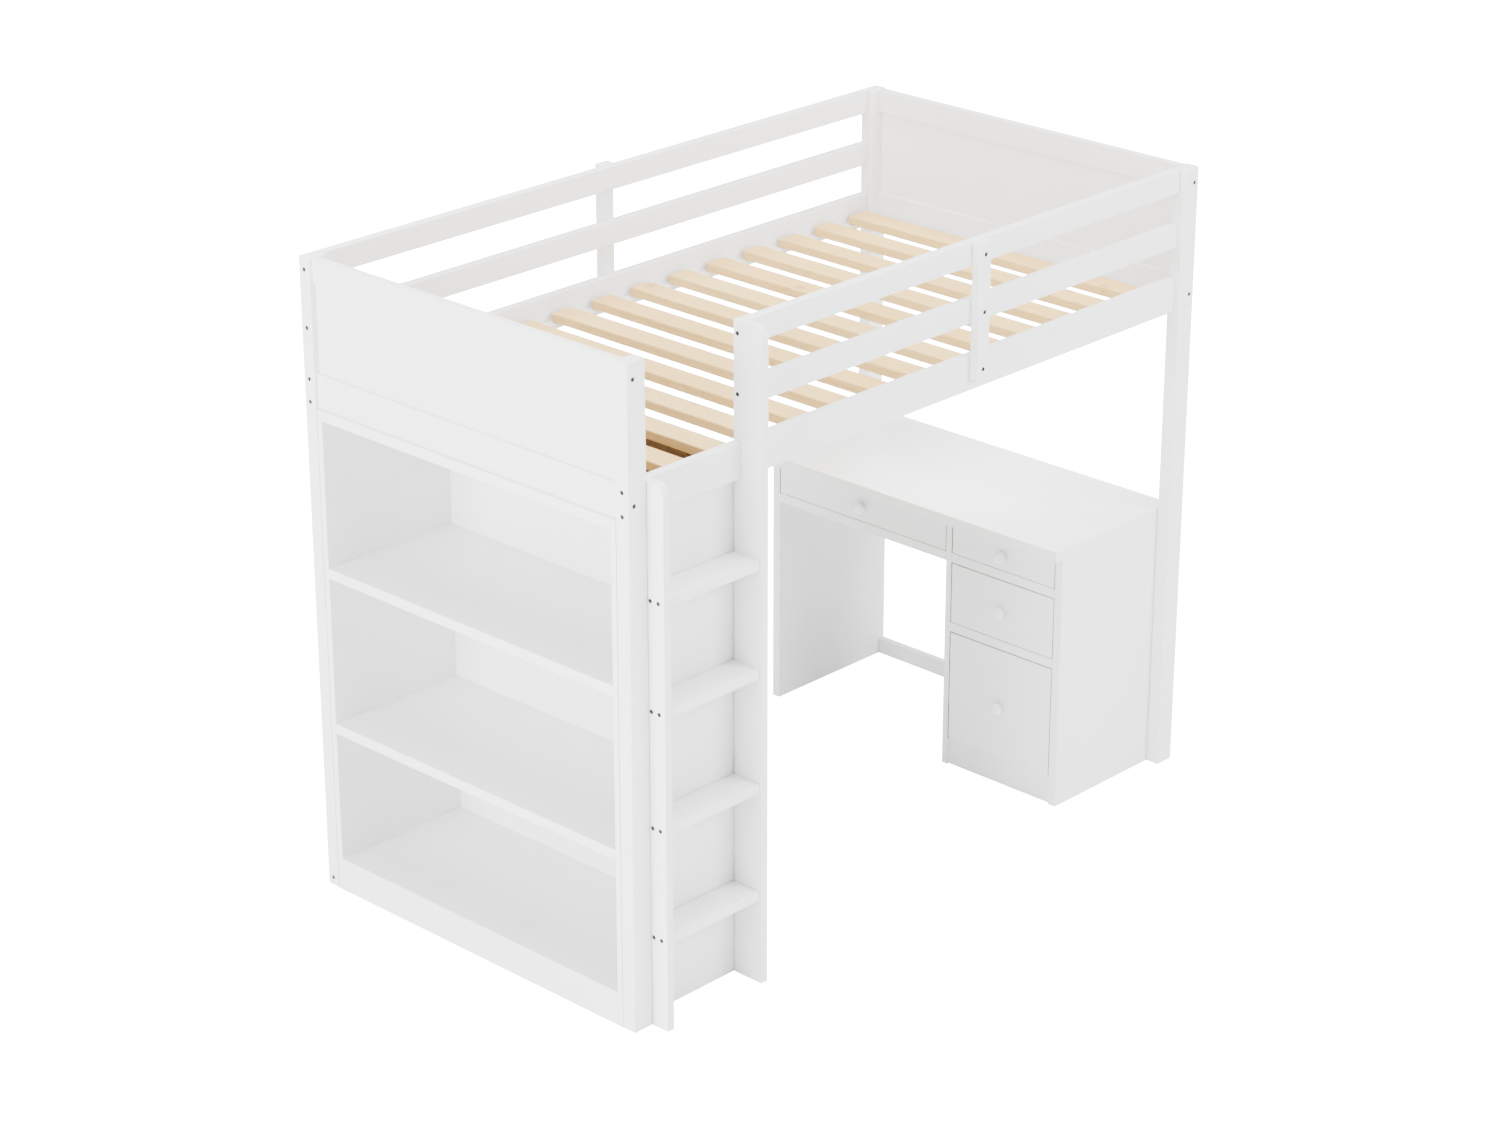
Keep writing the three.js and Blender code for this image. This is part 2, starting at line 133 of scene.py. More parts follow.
# %% [markdown]
# ## The floor
#
# A plain pale sheet under the bed. To the camera it glows, so that it stays lighter than the white
# furniture, as a sheet of paper lit on its own does; to the bed it is just a pale floor that
# bounces light up under the desk.

# %% Floor
FLOOR_HALF = 30.0
FLOOR_DROP = 0.0005  # keeps the sheet clear of the feet that stand on it

floor_mesh = bmesh.new()
bmesh.ops.create_grid(floor_mesh, x_segments=1, y_segments=1, size=FLOOR_HALF)
floor_data = bpy.data.meshes.new("floor")
floor_mesh.to_mesh(floor_data)
floor_mesh.free()
floor = bpy.data.objects.new("floor", floor_data)
floor.location = (0.0, 0.0, -FLOOR_DROP)
bpy.context.scene.collection.objects.link(floor)

floor_paint = bpy.data.materials.new("floor_paper")
floor_paint.use_nodes = True
tree = floor_paint.node_tree
paper = tree.nodes["Principled BSDF"]
paper.inputs["Base Color"].default_value = (0.86, 0.86, 0.86, 1.0)
paper.inputs["Roughness"].default_value = 0.9
paper.inputs["Specular IOR Level"].default_value = 0.1
glow = tree.nodes.new("ShaderNodeEmission")
glow.inputs["Strength"].default_value = BACKDROP
seen = tree.nodes.new("ShaderNodeLightPath")
both = tree.nodes.new("ShaderNodeAddShader")
pick = tree.nodes.new("ShaderNodeMixShader")
tree.links.new(paper.outputs["BSDF"], both.inputs[0])
tree.links.new(glow.outputs["Emission"], both.inputs[1])
tree.links.new(seen.outputs["Is Camera Ray"], pick.inputs["Fac"])
tree.links.new(paper.outputs["BSDF"], pick.inputs[1])
tree.links.new(both.outputs["Shader"], pick.inputs[2])
tree.links.new(pick.outputs["Shader"], tree.nodes["Material Output"].inputs["Surface"])
floor_data.materials.append(floor_paint)

# %% [markdown]
# ## Tools for building materials
#
# Shader trees are easier to read when each node is made and wired in one line. These small helpers
# make a node, set its values and link its inputs. A shader node group is a little tree with named
# sockets, so that one effect, such as worn edges, is drawn once and used by several finishes.


# %% Node helpers
def make_node(tree, kind, values=None, links=None, **settings):
    """A node of a kind, with settings, numbers on its inputs, and links into them."""
    node = tree.nodes.new(kind)
    for name, value in settings.items():
        setattr(node, name, value)
    for key, value in (values or {}).items():
        node.inputs[key].default_value = value
    for key, source in (links or {}).items():
        tree.links.new(source, node.inputs[key])
    return node


def make_math(tree, operation, first, second=None, clamp=False):
    """One step of arithmetic; each side is a number or a socket."""
    node = make_node(tree, "ShaderNodeMath", operation=operation, use_clamp=clamp)
    for slot, side in enumerate((first, second)):
        if side is None:
            continue
        if isinstance(side, (int, float)):
            node.inputs[slot].default_value = side
        else:
            tree.links.new(side, node.inputs[slot])
    return node.outputs["Value"]


def map_value(tree, value, low, high, to_low, to_high, smooth=False):
    """A value carried from one span to another, and held at the ends."""
    shape = "SMOOTHSTEP" if smooth else "LINEAR"
    node = make_node(tree, "ShaderNodeMapRange", interpolation_type=shape)
    tree.links.new(value, node.inputs["Value"])
    spans = {"From Min": low, "From Max": high, "To Min": to_low, "To Max": to_high}
    for key, number in spans.items():
        node.inputs[key].default_value = number
    return node.outputs["Result"]


def mix_colour(tree, share, first, second):
    """Two colours mixed by a share between 0 and 1."""
    node = make_node(tree, "ShaderNodeMix", data_type="RGBA")
    for key, side in ((0, share), (6, first), (7, second)):
        if isinstance(side, (int, float)):
            node.inputs[key].default_value = side
        elif isinstance(side, tuple):
            node.inputs[key].default_value = (*side, 1.0)
        else:
            tree.links.new(side, node.inputs[key])
    return node.outputs[2]


def stretched_noise(tree, vector, stretch, scale, detail=3.0, roughness=0.5):
    """Noise drawn out along a direction: a smaller stretch on an axis gives longer streaks."""
    mapped = make_node(tree, "ShaderNodeVectorMath", operation="MULTIPLY", links={0: vector})
    if isinstance(stretch, tuple):
        mapped.inputs[1].default_value = stretch
    else:
        tree.links.new(stretch, mapped.inputs[1])
    noise = make_node(
        tree,
        "ShaderNodeTexNoise",
        {"Scale": scale, "Detail": detail, "Roughness": roughness},
        {"Vector": mapped.outputs["Vector"]},
    )
    return noise.outputs["Fac"]


EVEN = (1.0, 1.0, 1.0)  # a stretch that draws nothing out


def new_group(name, inputs, outputs):
    """A shader node group with named sockets: its tree, its input node and its output node."""
    group = bpy.data.node_groups.new(name, "ShaderNodeTree")
    for label, kind, value in inputs:
        socket = group.interface.new_socket(name=label, in_out="INPUT", socket_type=kind)
        if value is not None:
            socket.default_value = value
    for label, kind in outputs:
        group.interface.new_socket(name=label, in_out="OUTPUT", socket_type=kind)
    return group, group.nodes.new("NodeGroupInput"), group.nodes.new("NodeGroupOutput")


def place_group(tree, group, values=None, links=None):
    """One use of a group inside a material."""
    node = tree.nodes.new("ShaderNodeGroup")
    node.node_tree = group
    for key, value in (values or {}).items():
        node.inputs[key].default_value = value
    for key, source in (links or {}).items():
        tree.links.new(source, node.inputs[key])
    return node


# %% [markdown]
# ## What all the paint shares
#
# Sprayed paint on pine isn't perfectly flat. The harder late wood of each year stands up under it as
# long faint ridges, and the paint itself dries with a fine orange-peel ripple. One group draws
# both. Its Stretch input says which way the board's grain runs: small along the board, 1 across.

# %% Group: paint over wood
paint_relief, inside, outside = new_group(
    "paint_relief",
    [
        ("Vector", "NodeSocketVector", None),
        ("Stretch", "NodeSocketVector", EVEN),
        ("Grain", "NodeSocketFloat", 0.5),
        ("Ripple", "NodeSocketFloat", 0.3),
    ],
    [("Height", "NodeSocketFloat"), ("Tone", "NodeSocketFloat")],
)
streaks = stretched_noise(
    paint_relief, inside.outputs["Vector"], inside.outputs["Stretch"], 210.0, 4.0, 0.6
)
ridges = map_value(paint_relief, streaks, 0.35, 0.7, 0.0, 1.0)
peel = stretched_noise(paint_relief, inside.outputs["Vector"], EVEN, 620.0, 2.0)
clouds = stretched_noise(paint_relief, inside.outputs["Vector"], EVEN, 3.2, 3.0)
grain_part = make_math(paint_relief, "MULTIPLY", ridges, inside.outputs["Grain"])
ripple_part = make_math(paint_relief, "MULTIPLY", peel, inside.outputs["Ripple"])
paint_relief.links.new(
    make_math(paint_relief, "ADD", grain_part, ripple_part), outside.inputs["Height"]
)
faint_ridges = make_math(paint_relief, "MULTIPLY", grain_part, 0.35)
cloud_part = map_value(paint_relief, clouds, 0.3, 0.7, 0.0, 0.65)
paint_relief.links.new(
    make_math(paint_relief, "ADD", cloud_part, faint_ridges), outside.inputs["Tone"]
)
print("group", paint_relief.name, "has", len(paint_relief.nodes), "nodes")

# %% [markdown]
# ## Worn edges
#
# Hands and sandpaper thin the paint on a board's rounded edges. Each board made below carries a
# number on its faces, 1 on the rounded edges and 0 elsewhere, and this group breaks that number up
# with noise, so the wear comes in short touches and not as an outline.

# %% Group: edge wear
edge_wear, inside, outside = new_group(
    "edge_wear",
    [("Vector", "NodeSocketVector", None), ("Amount", "NodeSocketFloat", 0.5)],
    [("Mask", "NodeSocketFloat")],
)
edge_number = make_node(edge_wear, "ShaderNodeAttribute", attribute_name="rounded_edge")
touches = stretched_noise(edge_wear, inside.outputs["Vector"], EVEN, 26.0, 5.0, 0.65)
patches = map_value(edge_wear, touches, 0.48, 0.72, 0.0, 1.0, smooth=True)
on_edges = make_math(edge_wear, "MULTIPLY", patches, edge_number.outputs["Fac"])
wear_mask = make_math(edge_wear, "MULTIPLY", on_edges, inside.outputs["Amount"], clamp=True)
edge_wear.links.new(wear_mask, outside.inputs["Mask"])

# %% [markdown]
# ## The white paint
#
# All the white pieces share one recipe with different values. Solid posts and rails show grain, the
# pressed boards of the desk and bookcase don't, and the knobs are a little glossier. The colour
# moves by only a few hundredths, because a new painted bed has no more than that.


# %% Painted finishes
WHITE = (0.805, 0.811, 0.823)
KNOB_WHITE = (0.84, 0.845, 0.855)
UNDERCOAT = (0.72, 0.71, 0.69)
SHADE_SHARE = 0.955  # the darkest the paint's slow clouds get


def painted_finish(name, stretch, grain, ripple, roughness, wear, white=WHITE):
    """White satin paint over a board whose grain runs along the smallest part of the stretch."""
    material = bpy.data.materials.new(name)
    material.use_nodes = True
    tree = material.node_tree
    shader = tree.nodes["Principled BSDF"]
    place = make_node(tree, "ShaderNodeTexCoord").outputs["Object"]
    relief = place_group(
        tree,
        paint_relief,
        {"Stretch": stretch, "Grain": grain, "Ripple": ripple},
        {"Vector": place},
    )
    worn = place_group(tree, edge_wear, {"Amount": wear}, {"Vector": place})
    shade = tuple(channel * SHADE_SHARE for channel in white)
    plain = mix_colour(tree, relief.outputs["Tone"], white, shade)
    colour = mix_colour(tree, worn.outputs["Mask"], plain, UNDERCOAT)
    tree.links.new(colour, shader.inputs["Base Color"])
    rough = map_value(tree, relief.outputs["Tone"], 0.0, 1.0, roughness - 0.05, roughness + 0.07)
    worn_rough = make_math(tree, "MULTIPLY", worn.outputs["Mask"], 0.2)
    tree.links.new(make_math(tree, "ADD", rough, worn_rough), shader.inputs["Roughness"])
    bump = make_node(
        tree,
        "ShaderNodeBump",
        {"Strength": 0.35, "Distance": 0.0006},
        {"Height": relief.outputs["Height"]},
    )
    tree.links.new(bump.outputs["Normal"], shader.inputs["Normal"])
    shader.inputs["Specular IOR Level"].default_value = 0.42
    return material


ALONG = 0.035  # the grain runs along the axis with this stretch
paint_along = {
    "x": painted_finish("paint_on_pine_x", (ALONG, 1.0, 1.0), 0.55, 0.25, 0.44, 0.35),
    "y": painted_finish("paint_on_pine_y", (1.0, ALONG, 1.0), 0.55, 0.25, 0.44, 0.35),
    "z": painted_finish("paint_on_pine_z", (1.0, 1.0, ALONG), 0.55, 0.25, 0.44, 0.35),
}
paint_on_board = painted_finish("paint_on_board", EVEN, 0.06, 0.4, 0.40, 0.25)
paint_on_drawer = painted_finish("paint_on_drawer", EVEN, 0.06, 0.35, 0.36, 0.3)
paint_on_knob = painted_finish("paint_on_knob", EVEN, 0.1, 0.2, 0.26, 0.0, KNOB_WHITE)
print("painted finishes:", len(paint_along) + 3)

# %% [markdown]
# ## Bare pine
#
# A plank is cut from a tree, so its rings are cylinders about the heart of the trunk, and every
# face shows the same cylinders cut at another angle: long lines on the wide face, arcs on the end.
# A solid texture of rings gives that for free. The slats lie in a row, so the place of a slat in
# the row, counted from its x, picks a random part of the tree for it, and no two look alike. Knots
# are spots where a branch met the trunk, and the rings bend round them.

# %% Group: pine
slat_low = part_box("slat_01")[0]
slat_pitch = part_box("slat_02")[0][0] - slat_low[0]

pine_wood, inside, outside = new_group(
    "pine_wood",
    [
        ("Vector", "NodeSocketVector", None),
        ("Row Start", "NodeSocketFloat", 0.0),
        ("Row Pitch", "NodeSocketFloat", 0.135),
        ("Ring Scale", "NodeSocketFloat", 46.0),
    ],
    [
        ("Rings", "NodeSocketFloat"),
        ("Fibres", "NodeSocketFloat"),
        ("Knots", "NodeSocketFloat"),
        ("Plank", "NodeSocketFloat"),
    ],
)
parts = make_node(pine_wood, "ShaderNodeSeparateXYZ", links={0: inside.outputs["Vector"]})
from_start = make_math(pine_wood, "SUBTRACT", parts.outputs["X"], inside.outputs["Row Start"])
steps = make_math(pine_wood, "DIVIDE", from_start, inside.outputs["Row Pitch"])
plank_number = make_math(pine_wood, "FLOOR", make_math(pine_wood, "ADD", steps, 0.2))
plank_start = make_math(pine_wood, "MULTIPLY", plank_number, inside.outputs["Row Pitch"])
own_x = make_math(pine_wood, "SUBTRACT", from_start, plank_start)
dice = make_node(pine_wood, "ShaderNodeTexWhiteNoise", noise_dimensions="1D")
pine_wood.links.new(plank_number, dice.inputs["W"])
rolls = make_node(pine_wood, "ShaderNodeSeparateColor", links={0: dice.outputs["Color"]})
off_centre = make_math(pine_wood, "SUBTRACT", rolls.outputs[0], 0.5)
heart_x = make_math(pine_wood, "MULTIPLY", off_centre, 0.16)
heart_spread = make_math(pine_wood, "MULTIPLY", rolls.outputs[1], 0.09)
heart_z = make_math(pine_wood, "ADD", heart_spread, -1.36)
along_trunk = make_math(pine_wood, "MULTIPLY", rolls.outputs[2], 40.0)
place_y = make_math(pine_wood, "ADD", parts.outputs["Y"], along_trunk)

# Knots, on the wide face: a few per plank, most of them narrow.
knot_place = make_node(pine_wood, "ShaderNodeCombineXYZ")
knot_shift = make_math(pine_wood, "MULTIPLY", rolls.outputs[0], 9.0)
pine_wood.links.new(make_math(pine_wood, "ADD", own_x, knot_shift), knot_place.inputs["X"])
pine_wood.links.new(make_math(pine_wood, "MULTIPLY", place_y, 0.8), knot_place.inputs["Y"])
knot_cells = make_node(
    pine_wood,
    "ShaderNodeTexVoronoi",
    {"Scale": 2.3, "Randomness": 1.0},
    {"Vector": knot_place.outputs["Vector"]},
    voronoi_dimensions="2D",
)
knot_distance = knot_cells.outputs["Distance"]
knot_mask = map_value(pine_wood, knot_distance, 0.012, 0.040, 1.0, 0.0, smooth=True)
knot_pull = map_value(pine_wood, knot_distance, 0.02, 0.24, 1.0, 0.0, smooth=True)

# Rings about the heart, bent by the knots and by slow waves along the plank.
slow_wave = stretched_noise(pine_wood, inside.outputs["Vector"], (6.0, 1.0, 6.0), 1.7, 2.0)
bend = make_math(
    pine_wood,
    "ADD",
    make_math(pine_wood, "MULTIPLY", slow_wave, 0.045),
    make_math(pine_wood, "MULTIPLY", knot_pull, 0.016),
)
ring_place = make_node(pine_wood, "ShaderNodeCombineXYZ")
bent_x = make_math(pine_wood, "ADD", own_x, bend)
turned_z = make_math(pine_wood, "MULTIPLY", parts.outputs["Z"], -1.0)
pine_wood.links.new(make_math(pine_wood, "SUBTRACT", bent_x, heart_x), ring_place.inputs["X"])
pine_wood.links.new(make_math(pine_wood, "MULTIPLY", place_y, 0.02), ring_place.inputs["Y"])
pine_wood.links.new(make_math(pine_wood, "SUBTRACT", turned_z, heart_z), ring_place.inputs["Z"])
rings = make_node(
    pine_wood,
    "ShaderNodeTexWave",
    {"Distortion": 1.4, "Detail": 2.0, "Detail Scale": 0.8},
    {"Vector": ring_place.outputs["Vector"], "Scale": inside.outputs["Ring Scale"]},
    wave_type="RINGS",
    rings_direction="Y",
    wave_profile="SAW",
)
pine_wood.links.new(rings.outputs["Fac"], outside.inputs["Rings"])
fibre_streaks = stretched_noise(
    pine_wood, inside.outputs["Vector"], (1.0, 0.02, 1.0), 520.0, 3.0, 0.7
)
pine_wood.links.new(fibre_streaks, outside.inputs["Fibres"])
pine_wood.links.new(knot_mask, outside.inputs["Knots"])
pine_wood.links.new(rolls.outputs[2], outside.inputs["Plank"])
print("group", pine_wood.name, "has", len(pine_wood.nodes), "nodes")
print("slat pitch", round(slat_pitch, 4))

# %% Bare pine finish
EARLY_WOOD = (0.755, 0.505, 0.175)
LATE_WOOD = (0.61, 0.36, 0.102)
FIBRE = (0.645, 0.395, 0.125)
PALE_PLANK = (0.785, 0.555, 0.225)
KNOT = (0.40, 0.22, 0.09)
# Darker towards the slat ends: end grain on the end faces, and painted shade on the faces near the
# ends.
END_GRAIN_AND_SHADE = (0.56, 0.34, 0.12)
# Darker on the narrow sides: sawn wood, and painted shade for sides that the light reaches less.
SAWN_SHADED_WOOD = (0.46, 0.285, 0.10)
RUBBED_WOOD = (0.82, 0.64, 0.33)
END_SHADE_BAND = 0.012

bare_pine = bpy.data.materials.new("bare_pine")
bare_pine.use_nodes = True
tree = bare_pine.node_tree
shader = tree.nodes["Principled BSDF"]
place = make_node(tree, "ShaderNodeTexCoord").outputs["Object"]
wood = place_group(
    tree,
    pine_wood,
    {"Row Start": slat_low[0], "Row Pitch": slat_pitch, "Ring Scale": 46.0},
    {"Vector": place},
)
late_wood = map_value(tree, wood.outputs["Rings"], 0.45, 0.98, 0.0, 0.75)
rings_colour = mix_colour(tree, late_wood, EARLY_WOOD, LATE_WOOD)
fibre_share = map_value(tree, wood.outputs["Fibres"], 0.35, 0.75, 0.0, 0.5)
fibre_colour = mix_colour(tree, fibre_share, rings_colour, FIBRE)
plank_share = map_value(tree, wood.outputs["Plank"], 0.0, 1.0, 0.0, 0.45)
plank_colour = mix_colour(tree, plank_share, fibre_colour, PALE_PLANK)
knot_share = make_math(tree, "MULTIPLY", wood.outputs["Knots"], 0.6)
knot_colour = mix_colour(tree, knot_share, plank_colour, KNOT)
# Towards each end the slat darkens over 12 mm: end grain on the end face, and painted shade on the
# faces where the slat's end meets the side rail.
place_parts = make_node(tree, "ShaderNodeSeparateXYZ", links={0: place})
from_middle = make_math(tree, "ABSOLUTE", place_parts.outputs["Y"])
slat_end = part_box("slat_01")[1][1]
end_grain_and_shade = map_value(tree, from_middle, slat_end - END_SHADE_BAND, slat_end, 0.0, 0.6, smooth=True)
pine_colour = mix_colour(tree, end_grain_and_shade, knot_colour, END_GRAIN_AND_SHADE)
# The narrow sides are darker: partly sawn wood, partly painted shade for sides that the light
# reaches less.
sawn = make_node(tree, "ShaderNodeAttribute", attribute_name="sawn_shaded_side").outputs["Fac"]
saw_marks_and_shade = map_value(tree, wood.outputs["Fibres"], 0.3, 0.7, 0.15, 0.4)
sawn_shade_share = make_math(tree, "MULTIPLY", sawn, saw_marks_and_shade)
sawn_shaded_colour = mix_colour(tree, sawn_shade_share, pine_colour, SAWN_SHADED_WOOD)
worn = place_group(tree, edge_wear, {"Amount": 0.4}, {"Vector": place})
slat_colour = mix_colour(tree, worn.outputs["Mask"], sawn_shaded_colour, RUBBED_WOOD)
tree.links.new(slat_colour, shader.inputs["Base Color"])
slat_rough = map_value(tree, wood.outputs["Rings"], 0.0, 1.0, 0.66, 0.52)
tree.links.new(slat_rough, shader.inputs["Roughness"])
relief_height = make_math(
    tree,
    "ADD",
    make_math(tree, "MULTIPLY", wood.outputs["Rings"], 0.6),
    make_math(tree, "MULTIPLY", wood.outputs["Fibres"], 0.5),
)
bump = make_node(
    tree, "ShaderNodeBump", {"Strength": 0.4, "Distance": 0.0004}, {"Height": relief_height}
)
tree.links.new(bump.outputs["Normal"], shader.inputs["Normal"])
shader.inputs["Specular IOR Level"].default_value = 0.3

# %% [markdown]
# ## Plywood drawer boxes
#
# Behind their white fronts the drawers are unpainted birch plywood. The faces have a calm, pale
# grain.

# %% Plywood finish
birch_ply = bpy.data.materials.new("birch_ply")
birch_ply.use_nodes = True
tree = birch_ply.node_tree
shader = tree.nodes["Principled BSDF"]
place = make_node(tree, "ShaderNodeTexCoord").outputs["Object"]
streaks = stretched_noise(tree, place, (0.05, 1.0, 1.0), 160.0, 4.0, 0.6)
figure = stretched_noise(tree, place, (0.3, 1.0, 1.0), 9.0, 3.0)
streak_share = map_value(tree, streaks, 0.35, 0.7, 0.0, 1.0)
sheet_colour = mix_colour(tree, streak_share, (0.80, 0.69, 0.52), (0.70, 0.56, 0.38))
figure_share = map_value(tree, figure, 0.35, 0.7, 0.0, 0.45)
ply_colour = mix_colour(tree, figure_share, sheet_colour, (0.66, 0.52, 0.34))
tree.links.new(ply_colour, shader.inputs["Base Color"])
tree.links.new(map_value(tree, streaks, 0.2, 0.8, 0.5, 0.64), shader.inputs["Roughness"])
bump = make_node(tree, "ShaderNodeBump", {"Strength": 0.3, "Distance": 0.0003}, {"Height": streaks})
tree.links.new(bump.outputs["Normal"], shader.inputs["Normal"])

# %% [markdown]
# ## Bolt steel and recesses
#
# The bolts are black-coated steel. Tools leave brighter rubs on the rim of the hexagon socket, so
# the tone and the roughness wander over each head. Each bolt sits in a drilled recess whose floor
# and wall are painted near black, as painted shade, which makes the round dark outline that shows
# from across a room.

# %% Steel and recess finishes
bolt_steel = bpy.data.materials.new("bolt_steel")
bolt_steel.use_nodes = True
tree = bolt_steel.node_tree
shader = tree.nodes["Principled BSDF"]
place = make_node(tree, "ShaderNodeTexCoord").outputs["Object"]
rubs = stretched_noise(tree, place, EVEN, 420.0, 3.0, 0.6)
rub_share = map_value(tree, rubs, 0.4, 0.7, 0.0, 1.0)
steel_colour = mix_colour(tree, rub_share, (0.012, 0.012, 0.013), (0.055, 0.055, 0.058))
tree.links.new(steel_colour, shader.inputs["Base Color"])
tree.links.new(map_value(tree, rubs, 0.3, 0.7, 0.42, 0.26), shader.inputs["Roughness"])
bump = make_node(tree, "ShaderNodeBump", {"Strength": 0.25, "Distance": 0.0002}, {"Height": rubs})
tree.links.new(bump.outputs["Normal"], shader.inputs["Normal"])
shader.inputs["Metallic"].default_value = 0.35

# The floor and wall of each bolt recess: near black with a little noise, painted shade for the dark
# inside of the recess.
recess_painted_shade = bpy.data.materials.new("recess_painted_shade")
recess_painted_shade.use_nodes = True
tree = recess_painted_shade.node_tree
shader = tree.nodes["Principled BSDF"]
place = make_node(tree, "ShaderNodeTexCoord").outputs["Object"]
recess_shade_noise = stretched_noise(tree, place, EVEN, 700.0, 3.0, 0.6)
recess_shade_share = map_value(tree, recess_shade_noise, 0.4, 0.7, 0.0, 1.0)
recess_shade_colour = mix_colour(tree, recess_shade_share, (0.012, 0.012, 0.013), (0.04, 0.04, 0.042))
tree.links.new(recess_shade_colour, shader.inputs["Base Color"])
tree.links.new(map_value(tree, recess_shade_noise, 0.3, 0.7, 0.55, 0.4), shader.inputs["Roughness"])

# %% [markdown]
# ## Raw board
#
# Nobody paints the inside of a cabinet. Behind the drawers the boards are left as bare pressed
# fibre, brown and matt. The brown is made much darker than raw board, as painted shade, so that
# the gaps round a white drawer read as dark lines; little light goes in there, and the dark brown
# gives little of it back.

# %% Raw board finish
raw_board_painted_shade = bpy.data.materials.new("raw_board_painted_shade")
raw_board_painted_shade.use_nodes = True
tree = raw_board_painted_shade.node_tree
shader = tree.nodes["Principled BSDF"]
place = make_node(tree, "ShaderNodeTexCoord").outputs["Object"]
flecks = stretched_noise(tree, place, EVEN, 900.0, 4.0, 0.7)
patches = stretched_noise(tree, place, EVEN, 14.0, 3.0)
fleck_share = map_value(tree, flecks, 0.35, 0.65, 0.0, 1.0)
# Much darker than raw board: this brown is also painted shade for the gaps round the drawers.
fleck_colour = mix_colour(tree, fleck_share, (0.105, 0.064, 0.034), (0.19, 0.122, 0.068))
patch_share = map_value(tree, patches, 0.35, 0.65, 0.0, 0.4)
raw_board_shade_colour = mix_colour(tree, patch_share, fleck_colour, (0.125, 0.08, 0.045))
tree.links.new(raw_board_shade_colour, shader.inputs["Base Color"])
tree.links.new(map_value(tree, flecks, 0.3, 0.7, 0.95, 0.8), shader.inputs["Roughness"])
bump = make_node(tree, "ShaderNodeBump", {"Strength": 0.3, "Distance": 0.0003}, {"Height": flecks})
tree.links.new(bump.outputs["Normal"], shader.inputs["Normal"])

# %% [markdown]
# ## Rounding the boards
#
# The engineering boards have knife-sharp edges. No real board has: a router or sandpaper takes the
# edge off, and it is that small round that catches the light and makes wood look like wood. Each
# board is copied, its triangles are merged back into whole faces, and its outer edges are bevelled
# by its own radius: 3 mm on solid pine, about 1 mm on pressed board. Three kinds of edge stay
# sharp: inner corners, the short edges of bolt recesses, which are as the drill left them, and
# edges where a pressed board or an end panel lies against a neighbour, because a maker leaves
# those crisp so that the joint closes. Where two solid pine pieces meet, both were rounded first,
# so the joint shows a soft line.

# %% Board tools
SHARP = math.radians(35)
FLAT = math.radians(0.5)  # triangles closer to one plane than this are one face
MERGE_DISTANCE = 1e-5
CUT_DISTANCE = 1e-6
JOINT_REACH = 0.0032
PINE_SHORTEST = 0.0125  # longer than any edge of a bolt recess
BOARD_SHORTEST = 0.004
MOVING_WORDS = ("drawer_", "knob_")
fixed_boxes = {name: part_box(name) for name in nodes if not name.startswith(MOVING_WORDS)}


def bare_copy(node_name):
    """A bmesh of a board's own shape, with its loose triangles merged into flat faces."""
    shape = bmesh.new()
    shape.from_mesh(nodes[node_name].data)
    bmesh.ops.remove_doubles(shape, verts=shape.verts, dist=MERGE_DISTANCE)
    bmesh.ops.dissolve_limit(
        shape, angle_limit=FLAT, verts=shape.verts, edges=shape.edges, delimit={"NORMAL"}
    )
    return shape


def outer_edges(shape, shortest):
    """The long edges that stick out, where a router would run."""
    return [
        edge
        for edge in shape.edges
        if len(edge.link_faces) == 2
        and edge.calc_length() > shortest
        and edge.calc_face_angle_signed(0.0) > SHARP
    ]


def near_box(point, box, reach):
    """Whether a point lies in a box made larger by a reach."""
    return all(box[0][i] - reach <= point[i] <= box[1][i] + reach for i in range(3))


def free_edges(edges, node_name, neighbours=()):
    """Drops the edges that lie mostly against another fixed board, or against some kinds only."""
    others = [
        box
        for name, box in fixed_boxes.items()
        if name != node_name and (not neighbours or name.startswith(neighbours))
    ]
    kept = []
    for edge in edges:
        start, end = (vert.co for vert in edge.verts)
        spots = [start.lerp(end, share) for share in (0.1, 0.3, 0.5, 0.7, 0.9)]
        touching = sum(any(near_box(spot, box, JOINT_REACH) for box in others) for spot in spots)
        if touching < 3:
            kept.append(edge)
    return kept


def round_edges(shape, edges, radius, segments, mark):
    """Bevels some edges and marks the new strips, so that the finish knows where they are."""
    made = bmesh.ops.bevel(
        shape,
        geom=edges,
        offset=radius,
        offset_type="OFFSET",
        segments=segments,
        profile=0.5,
        affect="EDGES",
        material=-1,
        clamp_overlap=True,
    )
    for face in made["faces"]:
        face[mark] = 1.0
        face.smooth = True


def finish_piece(shape, name, node_names, body, materials):
    """Turns a bmesh into a piece of the bed that rides on its body and stands for its boards."""
    data = bpy.data.meshes.new(name)
    shape.to_mesh(data)
    shape.free()
    for material in materials:
        data.materials.append(material)
    piece = bpy.data.objects.new(name, data)
    bpy.context.scene.collection.objects.link(piece)
    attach(piece, body)
    if node_names:
        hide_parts(*node_names)
    return piece


# %% [markdown]
# ## Bolts
#
# The recesses are already in the boards: each ends in a small round floor. Finding those floors in
# the mesh gives the place and the direction of every bolt, so no list of positions is needed.

# %% Finding recesses
RECESS_RADIUS = 0.0055
RECESS_DEPTH = 0.004


def recess_floors(shape):
    """(centre, outward direction) of every small round face in a board."""
    disc = math.pi * RECESS_RADIUS**2
    return [
        (face.calc_center_median(), face.normal.copy())
        for face in shape.faces
        if len(face.verts) >= 16 and abs(face.calc_area() - disc) < 0.06 * disc
    ]


